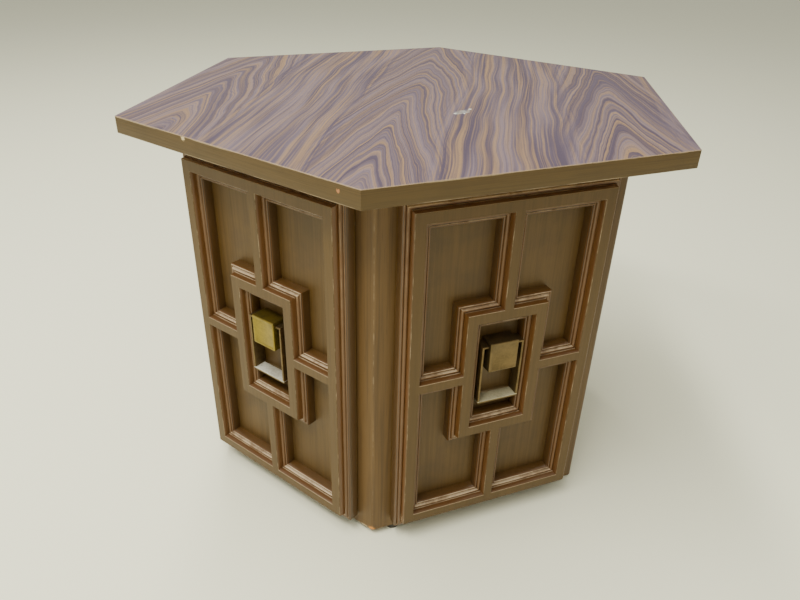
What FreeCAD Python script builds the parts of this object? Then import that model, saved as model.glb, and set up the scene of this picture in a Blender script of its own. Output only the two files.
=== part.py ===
import FreeCAD, Part
import os
import re
import Sketcher

# Hexagonal cabinet table with two moulded doors.
# Millimetres, +Z up, floor at Z = 0, the front corner between the doors points to -Y.

SIZES = {
    # table top
    "top_across": 712.0,
    "core_thick": 18.2,
    "laminate_thick": 0.8,
    "band_thick": 1.5,
    "band_joint_gap": 0.1,
    # hexagonal case
    "body_across": 580.0,
    "body_height": 448.0,
    "panel_thick": 16.0,
    "bottom_thick": 16.0,
    "bottom_recess": 6.0,
    "block_leg": 22.0,
    "block_height": 40.0,
    "foot_block_height": 20.0,
    "block_screw_inset": 6.0,
    # glides under the case
    "foot_height": 9.0,
    "glide_radius": 8.0,
    "glide_inset": 10.0,
    "glide_from_corner": 30.0,
    "nail_radius": 1.2,
    "nail_head_radius": 3.0,
    "nail_head_thick": 1.5,
    "nail_head_recess": 1.0,
    "nail_bite": 16.0,
    # door openings and boards
    "opening_width": 224.6,
    "opening_height": 400.0,
    "board_thick": 16.0,
    "board_clear": 2.0,
    "lip_gap": 2.0,
    "lip_overlap": 10.0,
    # moulded door fronts, levels measured out from the case face
    "front_proud": 25.0,
    "field_proud": 3.5,
    "bead_drop": 7.0,
    "bead_fall": 3.5,
    "bead_step": 1.5,
    "bead_run": 7.8,
    "outer_bar": 11.5,
    "divider_bar": 10.3,
    "frame_width": 96.0,
    "frame_height": 162.0,
    "frame_bar": 11.75,
    "frame_drop": 3.0,
    # pull blocks and swinging rings
    "block_width": 35.0,
    "block_tall": 37.0,
    "block_rise": 19.0,
    "block_set_back": 0.1,
    "ring_width": 52.0,
    "ring_tall": 76.5,
    "ring_depth": 16.0,
    "ring_thick": 2.5,
    "ring_set_back": 3.0,
    "ring_above_block": -4.0,
    "ring_side_gap": 0.3,
    "peg_radius": 1.1,
    "peg_length": 6.0,
    # hinges
    "hinge_spacing": 270.0,
    "leaf_height": 50.0,
    "leaf_thick": 0.9,
    "leaf_edge_gap": 0.5,
    "barrel_radius": 3.0,
    "barrel_gap": 0.3,
    "middle_barrel": 20.0,
    "barrel_end_gap": 0.2,
    "pin_radius": 1.2,
    "pin_head_radius": 2.4,
    "pin_head_thick": 1.5,
    "leaf_screw_spacing": 32.0,
    "leaf_screw_radius": 1.2,
    "leaf_head_radius": 2.2,
    "leaf_head_thick": 0.5,
    "leaf_screw_bite": 10.0,
    # magnetic catches
    "catch_height": 40.0,
    "catch_depth": 13.0,
    "catch_reach": 14.0,
    "catch_seat": 14.0,
    "catch_rise": 60.0,
    "magnet_gap": 0.3,
    "strike_width": 12.0,
    "strike_edge": 1.0,
    "strike_height": 32.0,
    "catch_screw_spacing": 28.0,
    "catch_screw_radius": 1.5,
    "catch_head_radius": 3.0,
    "catch_head_thick": 1.8,
    "strike_head_thick": 0.9,
    "catch_screw_bite": 12.0,
    # board screws and bumpers
    "screw_radius": 2.0,
    "screw_head_radius": 4.0,
    "screw_head_thick": 2.5,
    "screw_clear": 0.05,
    "front_screw_edge": 9.0,
    "front_screw_bite": 10.0,
    "pull_screw_spacing": 16.0,
    "pull_screw_bite": 12.0,
    "top_screw_bite": 12.0,
    "bumper_radius": 4.0,
    "bumper_gap": 0.2,
    "bumper_from_end": 20.0,
}

# Places worked out from the sizes above.
DERIVED = {
    "top_side": "top_across / 2",
    "top_base": "foot_height + body_height",
    "body_side": "body_across / 2",
    "body_apothem": "body_across / 2 * cos(30 deg)",
    "inner_side": "body_side - panel_thick / cos(30 deg)",
    "floor_level": "foot_height + bottom_recess + bottom_thick",
    "block_screw_at": "inner_side - block_screw_inset",
    "door_mid": "foot_height + body_height / 2",
    "board_half": "opening_width / 2 - board_clear",
    "board_back": "board_thick - lip_gap",
    "front_half": "opening_width / 2 + lip_overlap",
    "front_half_tall": "opening_height / 2 + lip_overlap",
    "flank_run": "bead_step + bead_run",
    "flat_half": "front_half - flank_run",
    "flat_half_tall": "front_half_tall - flank_run",
    "bead_top": "front_proud - bead_drop",
    "bead_base": "front_proud - bead_drop - bead_fall",
    "frame_mid": "door_mid - frame_drop",
    "block_mid": "door_mid + block_rise",
    "block_proud": "front_proud - block_set_back",
    "ring_top": "block_mid + block_tall / 2 + ring_above_block",
    "ring_front": "front_proud - ring_set_back",
    "peg_proud": "ring_front - ring_depth / 2",
    "peg_level": "ring_top - ring_thick / 2",
    "axis_side": "front_half + barrel_radius + barrel_gap",
    "axis_proud": "barrel_radius + barrel_gap",
    "leaf_start": "opening_width / 2 + leaf_edge_gap",
    "leaf_screw_at": "(leaf_start + front_half) / 2",
    "strike_thick": "panel_thick - board_back - magnet_gap",
    "catch_screw_at": "opening_width / 2 + catch_seat / 2",
    "catch_mid": "door_mid + catch_rise",
    "strike_at": "board_half - strike_width / 2 - strike_edge",
    "front_screw_side": "board_half - front_screw_edge",
    "front_screw_tall": "opening_height / 2 - board_clear - front_screw_edge",
}

CORNERS = (-90, -30, 30, 90, 150, 210)
FACES = (
    ("front_left", -120),
    ("front_right", -60),
    ("right", 0),
    ("back_right", 60),
    ("back_left", 120),
    ("left", 180),
)

doc = FreeCAD.newDocument("hexagonal_cabinet_table")
sheet = doc.addObject("Spreadsheet::Sheet", "Sizes")
for row, (size_name, size_value) in enumerate(SIZES.items(), start=1):
    sheet.set(f"A{row}", str(size_value))
    sheet.setAlias(f"A{row}", size_name)
doc.recompute()

pieces = []


def bound(text):
    """Write the plain size names in a formula as references to the sheet."""
    def swap(match):
        name = match.group(0)
        if name in DERIVED:
            return "(" + bound(DERIVED[name]) + ")"
        return "Sizes." + name if name in SIZES else name
    return re.sub(r"[a-z_]+", swap, text)


def value(text):
    """The present value of a formula, to start a sketch near its solution."""
    return float(sheet.evalExpression(bound(text)))


def piece(label, facing=None):
    """A new body. With facing it stands on that case face: X along it, -Y outward."""
    body = doc.addObject("PartDesign::Body", label)
    body.Label = label
    body.AllowCompound = True
    if facing is not None:
        turn = FreeCAD.Rotation(FreeCAD.Vector(0, 0, 1), facing + 90)
        body.Placement = FreeCAD.Placement(FreeCAD.Vector(), turn)
        body.setExpression("Placement.Base.x", bound(f"body_apothem * cos({facing} deg)"))
        body.setExpression("Placement.Base.y", bound(f"body_apothem * sin({facing} deg)"))
    pieces.append(body)
    return body


def origin_plane(body, role):
    """One of the body's own origin planes."""
    for feature in body.Origin.OriginFeatures:
        if feature.Role == role:
            return feature


def hold_point(drawing, line, x, y):
    """Fix the start of a line, or a circle's centre, at two formulas."""
    spot = 3 if drawing.Geometry[line].TypeId == "Part::GeomCircle" else 1
    for kind, formula in (("DistanceX", x), ("DistanceY", y)):
        constraint = Sketcher.Constraint(kind, line, spot, value(formula))
        index = drawing.addConstraint(constraint)
        drawing.setExpression(f"Constraints[{index}]", bound(formula))


def sketch(body, role, offset, loops):
    """A sketch on an origin plane, moved along its normal. A loop is a list of
    (x, y) corners, or one (x, y, radius) circle."""
    drawing = body.newObject("Sketcher::SketchObject", body.Name + "_sketch")
    drawing.AttachmentSupport = [(origin_plane(body, role), "")]
    drawing.MapMode = "FlatFace"
    drawing.setExpression("AttachmentOffset.Base.z", bound(offset))
    for loop in loops:
        if isinstance(loop, tuple):
            x, y, radius = loop
            centre = FreeCAD.Vector(value(x), value(y), 0)
            circle = Part.Circle(centre, FreeCAD.Vector(0, 0, 1), value(radius))
            line = drawing.addGeometry(circle)
            hold_point(drawing, line, x, y)
            index = drawing.addConstraint(Sketcher.Constraint("Radius", line, value(radius)))
            drawing.setExpression(f"Constraints[{index}]", bound(radius))
            continue
        corners = [FreeCAD.Vector(value(x), value(y), 0) for x, y in loop]
        first = len(drawing.Geometry)
        count = len(corners)
        for i in range(count):
            drawing.addGeometry(Part.LineSegment(corners[i], corners[(i + 1) % count]))
        for i in range(count):
            after = first + (i + 1) % count
            drawing.addConstraint(Sketcher.Constraint("Coincident", first + i, 2, after, 1))
        for i, (x, y) in enumerate(loop):
            hold_point(drawing, first + i, x, y)
    return drawing


def pad(body, role, offset, length, loops):
    """Add material from the offset plane along its normal."""
    feature = body.newObject("PartDesign::Pad", body.Name + "_pad")
    feature.Profile = sketch(body, role, offset, loops)
    feature.setExpression("Length", bound(length))
    body.Tip = feature
    return feature


def pocket(body, role, offset, length, loops, along_normal=False):
    """Cut from the offset plane against its normal, or along it."""
    feature = body.newObject("PartDesign::Pocket", body.Name + "_pocket")
    feature.Profile = sketch(body, role, offset, loops)
    feature.Reversed = along_normal
    feature.setExpression("Length", bound(length))
    body.Tip = feature
    return feature


def rectangle(x_low, x_high, y_low, y_high):
    """Corners of an upright rectangle."""
    return [(x_low, y_low), (x_high, y_low), (x_high, y_high), (x_low, y_high)]


def centred(x, y, half_width, half_height):
    """Corners of a rectangle about a centre."""
    return rectangle(
        f"{x} - ({half_width})", f"{x} + ({half_width})",
        f"{y} - ({half_height})", f"{y} + ({half_height})",
    )


def hexagon(radius):
    """Corners of a hexagon with a corner to the front."""
    return [(f"({radius}) * cos({a} deg)", f"({radius}) * sin({a} deg)") for a in CORNERS]


def circles(places, radius):
    """The same circle at several places."""
    return [(x, y, radius) for x, y in places]


# ---- table top -------------------------------------------------------------

def corner_places(radius):
    """A place on each corner's bisector, that far from the middle."""
    return [(f"{radius} * cos({a} deg)", f"{radius} * sin({a} deg)") for a in CORNERS]


def make_top():
    """Core board, laminate sheet and six mitred edge bands."""
    core = piece("top_core")
    pad(core, "XY_Plane", "top_base", "core_thick", [hexagon("top_side - band_thick / cos(30 deg)")])
    holes = circles(corner_places("block_screw_at"), "screw_radius + screw_clear")
    pocket(core, "XY_Plane", "top_base", "top_screw_bite", holes, along_normal=True)

    laminate = piece("top_laminate")
    pad(laminate, "XY_Plane", "top_base + core_thick", "laminate_thick", [hexagon("top_side")])

    bands = piece("top_edge_bands")
    strips = []
    outer = "top_side * cos(30 deg)"
    inner = f"({outer} - band_thick)"
    reach_out = "(top_side / 2 - band_joint_gap)"
    reach_in = "(top_side / 2 - band_thick * tan(30 deg) - band_joint_gap)"
    for name, face in FACES:
        ends = ((outer, reach_out, -1), (outer, reach_out, 1), (inner, reach_in, 1), (inner, reach_in, -1))
        strips.append([
            (
                f"{away} * cos({face} deg) + {sign} * {reach} * cos({face + 90} deg)",
                f"{away} * sin({face} deg) + {sign} * {reach} * sin({face + 90} deg)",
            )
            for away, reach, sign in ends
        ])
    pad(bands, "XY_Plane", "top_base", "core_thick", strips)


# ---- hexagonal case --------------------------------------------------------

def make_panel(name, facing):
    """A side panel with its long edges mitred for the corners."""
    panel = piece(f"side_panel_{name}", facing)
    inner = "(body_side / 2 - panel_thick * tan(30 deg))"
    outline = [
        ("-body_side / 2", "0"),
        ("body_side / 2", "0"),
        (inner, "panel_thick"),
        (f"-{inner}", "panel_thick"),
    ]
    pad(panel, "XY_Plane", "foot_height", "body_height", [outline])
    nail = ("glide_from_corner - body_side / 2", "glide_inset", "nail_radius + screw_clear")
    pocket(panel, "XY_Plane", "foot_height", "nail_bite", [nail], along_normal=True)
    return panel


def cut_door_opening(panel, hinge_side):
    """The opening behind a door, with the holes of its hinges and catch."""
    opening = centred("0", "door_mid", "opening_width / 2", "opening_height / 2")
    pocket(panel, "XZ_Plane", "0", "panel_thick", [opening])
    holes = circles(leaf_screw_places(hinge_side), "leaf_screw_radius + screw_clear")
    pocket(panel, "XZ_Plane", "0", "leaf_screw_bite", holes)
    holes = circles(catch_screw_places(hinge_side), "catch_screw_radius + screw_clear")
    pocket(panel, "XZ_Plane", "-panel_thick", "catch_screw_bite", holes, along_normal=True)


def make_bottom():
    """The cabinet floor, fitted between the panels."""
    floor = piece("bottom_board")
    pad(floor, "XY_Plane", "foot_height + bottom_recess", "bottom_thick", [hexagon("inner_side")])


def corner_block_outlines():
    """A three-sided glue block in each inside corner."""
    outlines = []
    for corner in CORNERS:
        apex_x = f"inner_side * cos({corner} deg)"
        apex_y = f"inner_side * sin({corner} deg)"
        outline = [(apex_x, apex_y)]
        for side in (corner + 120, corner - 120):
            along_x = f"{apex_x} + block_leg * cos({side} deg)"
            along_y = f"{apex_y} + block_leg * sin({side} deg)"
            outline.append((along_x, along_y))
        outlines.append(outline)
    return outlines


def make_corner_blocks():
    """Upper blocks carry the top's screws, lower blocks stand on the floor."""
    upper = piece("upper_corner_blocks")
    pad(upper, "XY_Plane", "top_base - block_height", "block_height", corner_block_outlines())
    holes = circles(corner_places("block_screw_at"), "screw_radius + screw_clear")
    pocket(upper, "XY_Plane", "top_base", "block_height", holes)

    lower = piece("lower_corner_blocks")
    pad(lower, "XY_Plane", "floor_level", "foot_block_height", corner_block_outlines())

    screws = piece("top_screws")
    places = corner_places("block_screw_at")
    seat = "top_base - block_height"
    pad(screws, "XY_Plane", f"{seat} - screw_head_thick", "screw_head_thick",
        circles(places, "screw_head_radius"))
    pad(screws, "XY_Plane", seat, "block_height + top_screw_bite", circles(places, "screw_radius"))


def glide_places():
    """One glide under each panel, near the same end of each."""
    away = "(body_apothem - glide_inset)"
    along = "(glide_from_corner - body_side / 2)"
    return [
        (
            f"{away} * cos({face} deg) + {along} * cos({face + 90} deg)",
            f"{away} * sin({face} deg) + {along} * sin({face + 90} deg)",
        )
        for name, face in FACES
    ]


def make_glides():
    """Nail-on glides and their nails."""
    glides = piece("glides")
    places = glide_places()
    recess = "nail_head_recess + nail_head_thick"
    pad(glides, "XY_Plane", "0", "foot_height", circles(places, "glide_radius"))
    pocket(glides, "XY_Plane", "foot_height", "foot_height",
           circles(places, "nail_radius + screw_clear"))
    pocket(glides, "XY_Plane", recess, recess, circles(places, "nail_head_radius + screw_clear"))

    nails = piece("glide_nails")
    pad(nails, "XY_Plane", "nail_head_recess", "nail_head_thick", circles(places, "nail_head_radius"))
    pad(nails, "XY_Plane", recess, f"foot_height + nail_bite - ({recess})",
        circles(places, "nail_radius"))


# ---- doors -----------------------------------------------------------------
# A door is drawn on its case face. hinge_side is 1 where its hinges are at +X.

def front_screw_places():
    """Three screws down each side of the board, under the outer bars."""
    rows = ("- front_screw_tall", "", "+ front_screw_tall")
    return [(f"{side} * front_screw_side", f"door_mid {row}") for side in (-1, 1) for row in rows]


def pull_screw_places():
    """Two screws into the back of the pull block."""
    return [("0", f"block_mid + {side} * pull_screw_spacing / 2") for side in (-1, 1)]


def hinge_levels():
    """Heights of the two hinges' middles."""
    return (("lower", "(door_mid - hinge_spacing / 2)"), ("upper", "(door_mid + hinge_spacing / 2)"))


def leaf_screw_places(hinge_side):
    """Two screws in each hinge leaf."""
    return [
        (f"{hinge_side} * leaf_screw_at", f"{level} + {side} * leaf_screw_spacing / 2")
        for name, level in hinge_levels()
        for side in (-1, 1)
    ]


def catch_screw_places(hinge_side):
    """Two screws through the catch, on the door's free side."""
    return [
        (f"{-hinge_side} * catch_screw_at", f"catch_mid + {side} * catch_screw_spacing / 2")
        for side in (-1, 1)
    ]


def well_outlines(inset):
    """Four L-shaped wells and the middle well, drawn in by inset from the bars' edges."""
    across_in = f"(divider_bar / 2 + {inset})"
    across_out = f"(flat_half - outer_bar - {inset})"
    across_frame = f"(frame_width / 2 + {inset})"
    outlines = []
    for x in (-1, 1):
        for y in (-1, 1):
            end = f"door_mid + {y} * (flat_half_tall - outer_bar - {inset})"
            waist = f"frame_mid + {y} * (divider_bar / 2 + {inset})"
            frame = f"frame_mid + {y} * (frame_height / 2 + {inset})"
            outlines.append([
                (f"{x} * {across_in}", end),
                (f"{x} * {across_out}", end),
                (f"{x} * {across_out}", waist),
                (f"{x} * {across_frame}", waist),
                (f"{x} * {across_frame}", frame),
                (f"{x} * {across_in}", frame),
            ])
    half_width = f"frame_width / 2 - frame_bar - {inset}"
    half_height = f"frame_height / 2 - frame_bar - {inset}"
    outlines.append(centred("0", "frame_mid", half_width, half_height))
    return outlines


def make_front(name, facing, hinge_side):
    """Moulded front: stepped edges, flat bars, and wells down to a thin field."""
    front = piece(f"{name}_door_front", facing)
    steps = (
        ("lip_gap", "bead_base - lip_gap", "0"),
        ("bead_base", "bead_fall / 2", "bead_run / 2"),
        ("bead_base + bead_fall / 2", "bead_fall / 2", "bead_run"),
        ("bead_top", "bead_drop", "flank_run"),
    )
    for level, thick, inset in steps:
        outline = centred("0", "door_mid", f"front_half - {inset}", f"front_half_tall - {inset}")
        pad(front, "XZ_Plane", level, thick, [outline])
    cuts = (
        ("bead_drop", "0"),
        ("bead_drop + bead_fall / 2", "(bead_step + bead_run / 2)"),
        ("front_proud - field_proud", "flank_run"),
    )
    for depth, inset in cuts:
        pocket(front, "XZ_Plane", "front_proud", depth, well_outlines(inset))
    holes = circles(front_screw_places(), "screw_radius + screw_clear")
    pocket(front, "XZ_Plane", "lip_gap", "front_screw_bite", holes, along_normal=True)
    holes = circles(pull_screw_places(), "screw_radius + screw_clear")
    pocket(front, "XZ_Plane", "field_proud", "field_proud - lip_gap", holes)
    holes = circles(leaf_screw_places(hinge_side), "leaf_screw_radius + screw_clear")
    pocket(front, "XZ_Plane", "lip_gap", "leaf_screw_bite", holes, along_normal=True)


def make_board(name, facing, hinge_side):
    """Inset board that carries the front, with its screw holes."""
    board = piece(f"{name}_door_board", facing)
    outline = centred("0", "door_mid", "board_half", "opening_height / 2 - board_clear")
    pad(board, "XZ_Plane", "-board_back", "board_thick", [outline])
    places = front_screw_places() + pull_screw_places()
    pocket(board, "XZ_Plane", "lip_gap", "board_thick", circles(places, "screw_radius + screw_clear"))
    pocket(board, "XZ_Plane", "-board_back", "screw_head_thick",
           circles(places, "screw_head_radius + screw_clear"), along_normal=True)
    strike = (f"{-hinge_side} * strike_at", "catch_mid", "catch_screw_radius + screw_clear")
    pocket(board, "XZ_Plane", "-board_back", "catch_screw_bite", [strike], along_normal=True)


def make_board_screws(name, facing):
    """Screws from the board's back into the front, and into the pull block."""
    groups = (
        ("front_screws", front_screw_places(), "lip_gap + front_screw_bite"),
        ("pull_screws", pull_screw_places(), "field_proud + pull_screw_bite"),
    )
    seat = "screw_head_thick - board_back"
    for label, places, tip in groups:
        screws = piece(f"{name}_{label}", facing)
        pad(screws, "XZ_Plane", "-board_back", "screw_head_thick", circles(places, "screw_head_radius"))
        pad(screws, "XZ_Plane", seat, f"{tip} - ({seat})", circles(places, "screw_radius"))


def make_pull(name, facing):
    """Square pull block and the ring that swings on pegs in its sides."""
    block = piece(f"{name}_pull_block", facing)
    outline = centred("0", "block_mid", "block_width / 2", "block_tall / 2")
    pad(block, "XZ_Plane", "field_proud", "block_proud - field_proud", [outline])
    pocket(block, "XZ_Plane", "field_proud", "pull_screw_bite",
           circles(pull_screw_places(), "screw_radius + screw_clear"), along_normal=True)
    bore = ("-peg_proud", "peg_level", "peg_radius + screw_clear")
    pocket(block, "YZ_Plane", "block_width / 2", "peg_length", [bore])
    pocket(block, "YZ_Plane", "-block_width / 2", "peg_length", [bore], along_normal=True)

    ring = piece(f"{name}_pull_ring", facing)
    side = "ring_width / 2"
    inside = "(ring_width / 2 - ring_thick)"
    arm_end = "(block_width / 2 + ring_side_gap)"
    bottom = "ring_top - ring_tall"
    under_arm = "ring_top - ring_thick"
    outline = [
        (f"-{arm_end}", "ring_top"),
        (f"-{side}", "ring_top"),
        (f"-{side}", bottom),
        (side, bottom),
        (side, "ring_top"),
        (arm_end, "ring_top"),
        (arm_end, under_arm),
        (inside, under_arm),
        (inside, f"{bottom} + ring_thick"),
        (f"-{inside}", f"{bottom} + ring_thick"),
        (f"-{inside}", under_arm),
        (f"-{arm_end}", under_arm),
    ]
    pad(ring, "XZ_Plane", "ring_front - ring_depth", "ring_depth", [outline])
    peg = [("-peg_proud", "peg_level", "peg_radius")]
    length = "peg_length + ring_thick - ring_side_gap"
    pad(ring, "YZ_Plane", f"{arm_end} - peg_length", length, peg)
    pad(ring, "YZ_Plane", f"-{arm_end} - ring_thick + ring_side_gap", length, peg)


def leaf_plate(side, span):
    """The flat of a hinge leaf, behind the lip of the front."""
    return centred(f"{side} * (leaf_start + front_half) / 2", span, "(front_half - leaf_start) / 2",
                   "leaf_height / 2")


def make_hinge(name, facing, side, level_name, level):
    """A butt hinge: two leaves, their barrels and the pin."""
    barrel = (f"{side} * axis_side", "-axis_proud", "barrel_radius")
    bore = (f"{side} * axis_side", "-axis_proud", "pin_radius + screw_clear")
    middle = "(middle_barrel / 2)"
    outer = f"(leaf_height / 2 - {middle} - barrel_end_gap)"
    rows = [(x, y) for x, y in leaf_screw_places(side) if level in y]

    case_leaf = piece(f"{name}_{level_name}_hinge_case_leaf", facing)
    pad(case_leaf, "XZ_Plane", "0", "leaf_thick", [leaf_plate(side, level)])
    for start in (f"{level} - leaf_height / 2", f"{level} + {middle} + barrel_end_gap"):
        tab = centred(f"{side} * (front_half + axis_side) / 2", f"{start} + {outer} / 2",
                      "(axis_side - front_half) / 2", f"{outer} / 2")
        pad(case_leaf, "XZ_Plane", "0", "leaf_thick", [tab])
        pad(case_leaf, "XY_Plane", start, outer, [barrel])
    pocket(case_leaf, "XY_Plane", f"{level} + leaf_height / 2", "leaf_height", [bore])
    pocket(case_leaf, "XZ_Plane", "leaf_thick", "leaf_thick",
           circles(rows, "leaf_screw_radius + screw_clear"))
    pocket(case_leaf, "XZ_Plane", "leaf_thick", "leaf_head_thick",
           circles(rows, "leaf_head_radius + screw_clear"))

    door_leaf = piece(f"{name}_{level_name}_hinge_door_leaf", facing)
    inner_face = "lip_gap - leaf_thick"
    pad(door_leaf, "XZ_Plane", inner_face, "leaf_thick", [leaf_plate(side, level)])
    tab = centred(f"{side} * (front_half + axis_side) / 2", level, "(axis_side - front_half) / 2", middle)
    pad(door_leaf, "XZ_Plane", inner_face, "leaf_thick", [tab])
    pad(door_leaf, "XY_Plane", f"{level} - {middle}", "middle_barrel", [barrel])
    pocket(door_leaf, "XY_Plane", f"{level} + {middle}", "middle_barrel", [bore])
    pocket(door_leaf, "XZ_Plane", "lip_gap", "leaf_thick", circles(rows, "leaf_screw_radius + screw_clear"))
    pocket(door_leaf, "XZ_Plane", inner_face, "leaf_head_thick",
           circles(rows, "leaf_head_radius + screw_clear"), along_normal=True)

    pin = piece(f"{name}_{level_name}_hinge_pin", facing)
    shaft = (f"{side} * axis_side", "-axis_proud", "pin_radius")
    head = (f"{side} * axis_side", "-axis_proud", "pin_head_radius")
    pad(pin, "XY_Plane", f"{level} - leaf_height / 2", "leaf_height", [shaft])
    pad(pin, "XY_Plane", f"{level} + leaf_height / 2", "pin_head_thick", [head])


def make_leaf_screws(name, facing, side):
    """Screws of the case leaves, driven inward, and of the door leaves, driven outward."""
    places = leaf_screw_places(side)
    case_screws = piece(f"{name}_hinge_case_screws", facing)
    pad(case_screws, "XZ_Plane", "leaf_thick - leaf_head_thick", "leaf_head_thick",
        circles(places, "leaf_head_radius"))
    pad(case_screws, "XZ_Plane", "-leaf_screw_bite", "leaf_screw_bite + leaf_thick - leaf_head_thick",
        circles(places, "leaf_screw_radius"))

    door_screws = piece(f"{name}_hinge_door_screws", facing)
    pad(door_screws, "XZ_Plane", "lip_gap - leaf_thick", "leaf_head_thick",
        circles(places, "leaf_head_radius"))
    pad(door_screws, "XZ_Plane", "lip_gap - leaf_thick + leaf_head_thick",
        "leaf_thick - leaf_head_thick + leaf_screw_bite", circles(places, "leaf_screw_radius"))


def make_catch(name, facing, hinge_side):
    """Magnetic catch inside the case and its strike plate on the door board."""
    free = -hinge_side
    places = catch_screw_places(hinge_side)
    back = "(panel_thick + catch_depth)"
    catch = piece(f"{name}_magnetic_catch", facing)
    outline = centred(f"{free} * (opening_width / 2 + (catch_seat - catch_reach) / 2)", "catch_mid",
                      "(catch_seat + catch_reach) / 2", "catch_height / 2")
    pad(catch, "XZ_Plane", f"-{back}", "catch_depth", [outline])
    pocket(catch, "XZ_Plane", "-panel_thick", "catch_depth",
           circles(places, "catch_screw_radius + screw_clear"))

    screws = piece(f"{name}_catch_screws", facing)
    pad(screws, "XZ_Plane", f"-{back} - catch_head_thick", "catch_head_thick",
        circles(places, "catch_head_radius"))
    pad(screws, "XZ_Plane", f"-{back}", "catch_depth + catch_screw_bite",
        circles(places, "catch_screw_radius"))

    strike = piece(f"{name}_strike_plate", facing)
    outer_face = "(board_back + strike_thick)"
    outline = centred(f"{free} * strike_at", "catch_mid", "strike_width / 2", "strike_height / 2")
    pad(strike, "XZ_Plane", f"-{outer_face}", "strike_thick", [outline])
    middle = [(f"{free} * strike_at", "catch_mid")]
    pocket(strike, "XZ_Plane", "-board_back", "strike_thick",
           circles(middle, "catch_screw_radius + screw_clear"))
    pocket(strike, "XZ_Plane", f"-{outer_face}", "strike_head_thick",
           circles(middle, "catch_head_radius + screw_clear"), along_normal=True)

    screw = piece(f"{name}_strike_screw", facing)
    seat = f"strike_head_thick - {outer_face}"
    pad(screw, "XZ_Plane", f"-{outer_face}", "strike_head_thick", circles(middle, "catch_head_radius"))
    pad(screw, "XZ_Plane", seat, f"strike_thick - strike_head_thick + catch_screw_bite",
        circles(middle, "catch_screw_radius"))


def make_bumpers(name, facing, hinge_side):
    """Two rubber pads behind the lip on the door's free side."""
    bumpers = piece(f"{name}_door_bumpers", facing)
    places = [
        (f"{-hinge_side} * leaf_screw_at", f"door_mid + {side} * (opening_height / 2 - bumper_from_end)")
        for side in (-1, 1)
    ]
    pad(bumpers, "XZ_Plane", "bumper_gap", "lip_gap - bumper_gap", circles(places, "bumper_radius"))


def make_door(name, facing, hinge_side):
    """Everything of one door and what hangs and holds it."""
    make_board(name, facing, hinge_side)
    make_front(name, facing, hinge_side)
    make_board_screws(name, facing)
    make_pull(name, facing)
    for level_name, level in hinge_levels():
        make_hinge(name, facing, hinge_side, level_name, level)
    make_leaf_screws(name, facing, hinge_side)
    make_catch(name, facing, hinge_side)
    make_bumpers(name, facing, hinge_side)


def check_pieces():
    """Stop if anything failed to build, or a cut removed nothing."""
    for item in doc.Objects:
        if "Invalid" in item.State or "Error" in item.State:
            raise RuntimeError(f"{item.Name} did not build: {item.State}")
        if item.TypeId == "PartDesign::Pocket":
            if item.Shape.Volume > item.BaseFeature.Shape.Volume - 0.1:
                raise RuntimeError(f"{item.Name} cuts nothing")
    for body in pieces:
        if body.Shape.isNull() or not body.Shape.isValid():
            raise RuntimeError(f"{body.Label} has no valid shape")


def write_pieces():
    """One STEP file for each piece."""
    os.makedirs("parts", exist_ok=True)
    for body in pieces:
        body.Shape.exportStep(os.path.join("parts", body.Label + ".step"))
        print(body.Label, len(body.Shape.Solids), round(body.Shape.Volume))


make_top()
for face_name, face_angle in FACES:
    side_panel = make_panel(face_name, face_angle)
    if face_name == "front_left":
        cut_door_opening(side_panel, -1)
    if face_name == "front_right":
        cut_door_opening(side_panel, 1)
make_bottom()
make_corner_blocks()
make_glides()
make_door("left", -120, -1)
make_door("right", -60, 1)
doc.recompute()
check_pieces()
write_pieces()
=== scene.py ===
import math

import bmesh
import bpy
from mathutils import Matrix, Vector


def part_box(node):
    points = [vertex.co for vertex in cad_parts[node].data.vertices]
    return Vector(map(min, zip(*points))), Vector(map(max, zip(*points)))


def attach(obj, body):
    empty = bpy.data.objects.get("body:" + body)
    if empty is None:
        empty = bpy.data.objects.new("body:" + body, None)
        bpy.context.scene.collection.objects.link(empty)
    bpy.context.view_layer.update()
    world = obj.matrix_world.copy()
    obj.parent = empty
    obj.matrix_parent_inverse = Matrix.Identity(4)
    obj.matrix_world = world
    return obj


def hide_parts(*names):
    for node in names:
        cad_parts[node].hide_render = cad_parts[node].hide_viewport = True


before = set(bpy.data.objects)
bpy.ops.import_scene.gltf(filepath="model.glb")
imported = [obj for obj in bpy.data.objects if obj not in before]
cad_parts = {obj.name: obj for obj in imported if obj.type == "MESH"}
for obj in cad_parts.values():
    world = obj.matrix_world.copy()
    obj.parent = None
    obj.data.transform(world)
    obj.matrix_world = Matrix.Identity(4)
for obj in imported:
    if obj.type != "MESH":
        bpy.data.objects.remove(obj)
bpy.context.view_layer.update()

bl_info = {
    "name": "Hexagonal cabinet table",
    "version": (1, 0, 0),
    "blender": (4, 5, 0),
    "location": "3D View > Sidebar > Cabinet table",
    "description": "Models the moulded doors, pulls, case and top of a hexagonal cabinet table",
    "category": "Object",
}

# Places read from the frame. The case stands with one corner to the front, at -Y.
TOP_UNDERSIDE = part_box("top_core")[0].z
CORE_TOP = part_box("top_core")[1].z
TOP_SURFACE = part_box("top_laminate")[1].z
TOP_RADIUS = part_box("top_laminate")[1].y
CASE_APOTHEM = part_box("side_panel_right")[1].x
CASE_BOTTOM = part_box("side_panel_right")[0].z
CASE_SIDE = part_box("side_panel_right")[1].y * 2
FRONT_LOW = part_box("left_door_front")[0].z
FRONT_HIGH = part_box("left_door_front")[1].z
DOOR_MIDDLE = (FRONT_LOW + FRONT_HIGH) / 2
BLOCK_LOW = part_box("left_pull_block")[0].z
BLOCK_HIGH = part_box("left_pull_block")[1].z
RING_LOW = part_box("left_pull_ring")[0].z
RING_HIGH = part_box("left_pull_ring")[1].z
FACINGS = {
    "front_left": -120,
    "front_right": -60,
    "right": 0,
    "back_right": 60,
    "back_left": 120,
    "left": 180,
}
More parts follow.
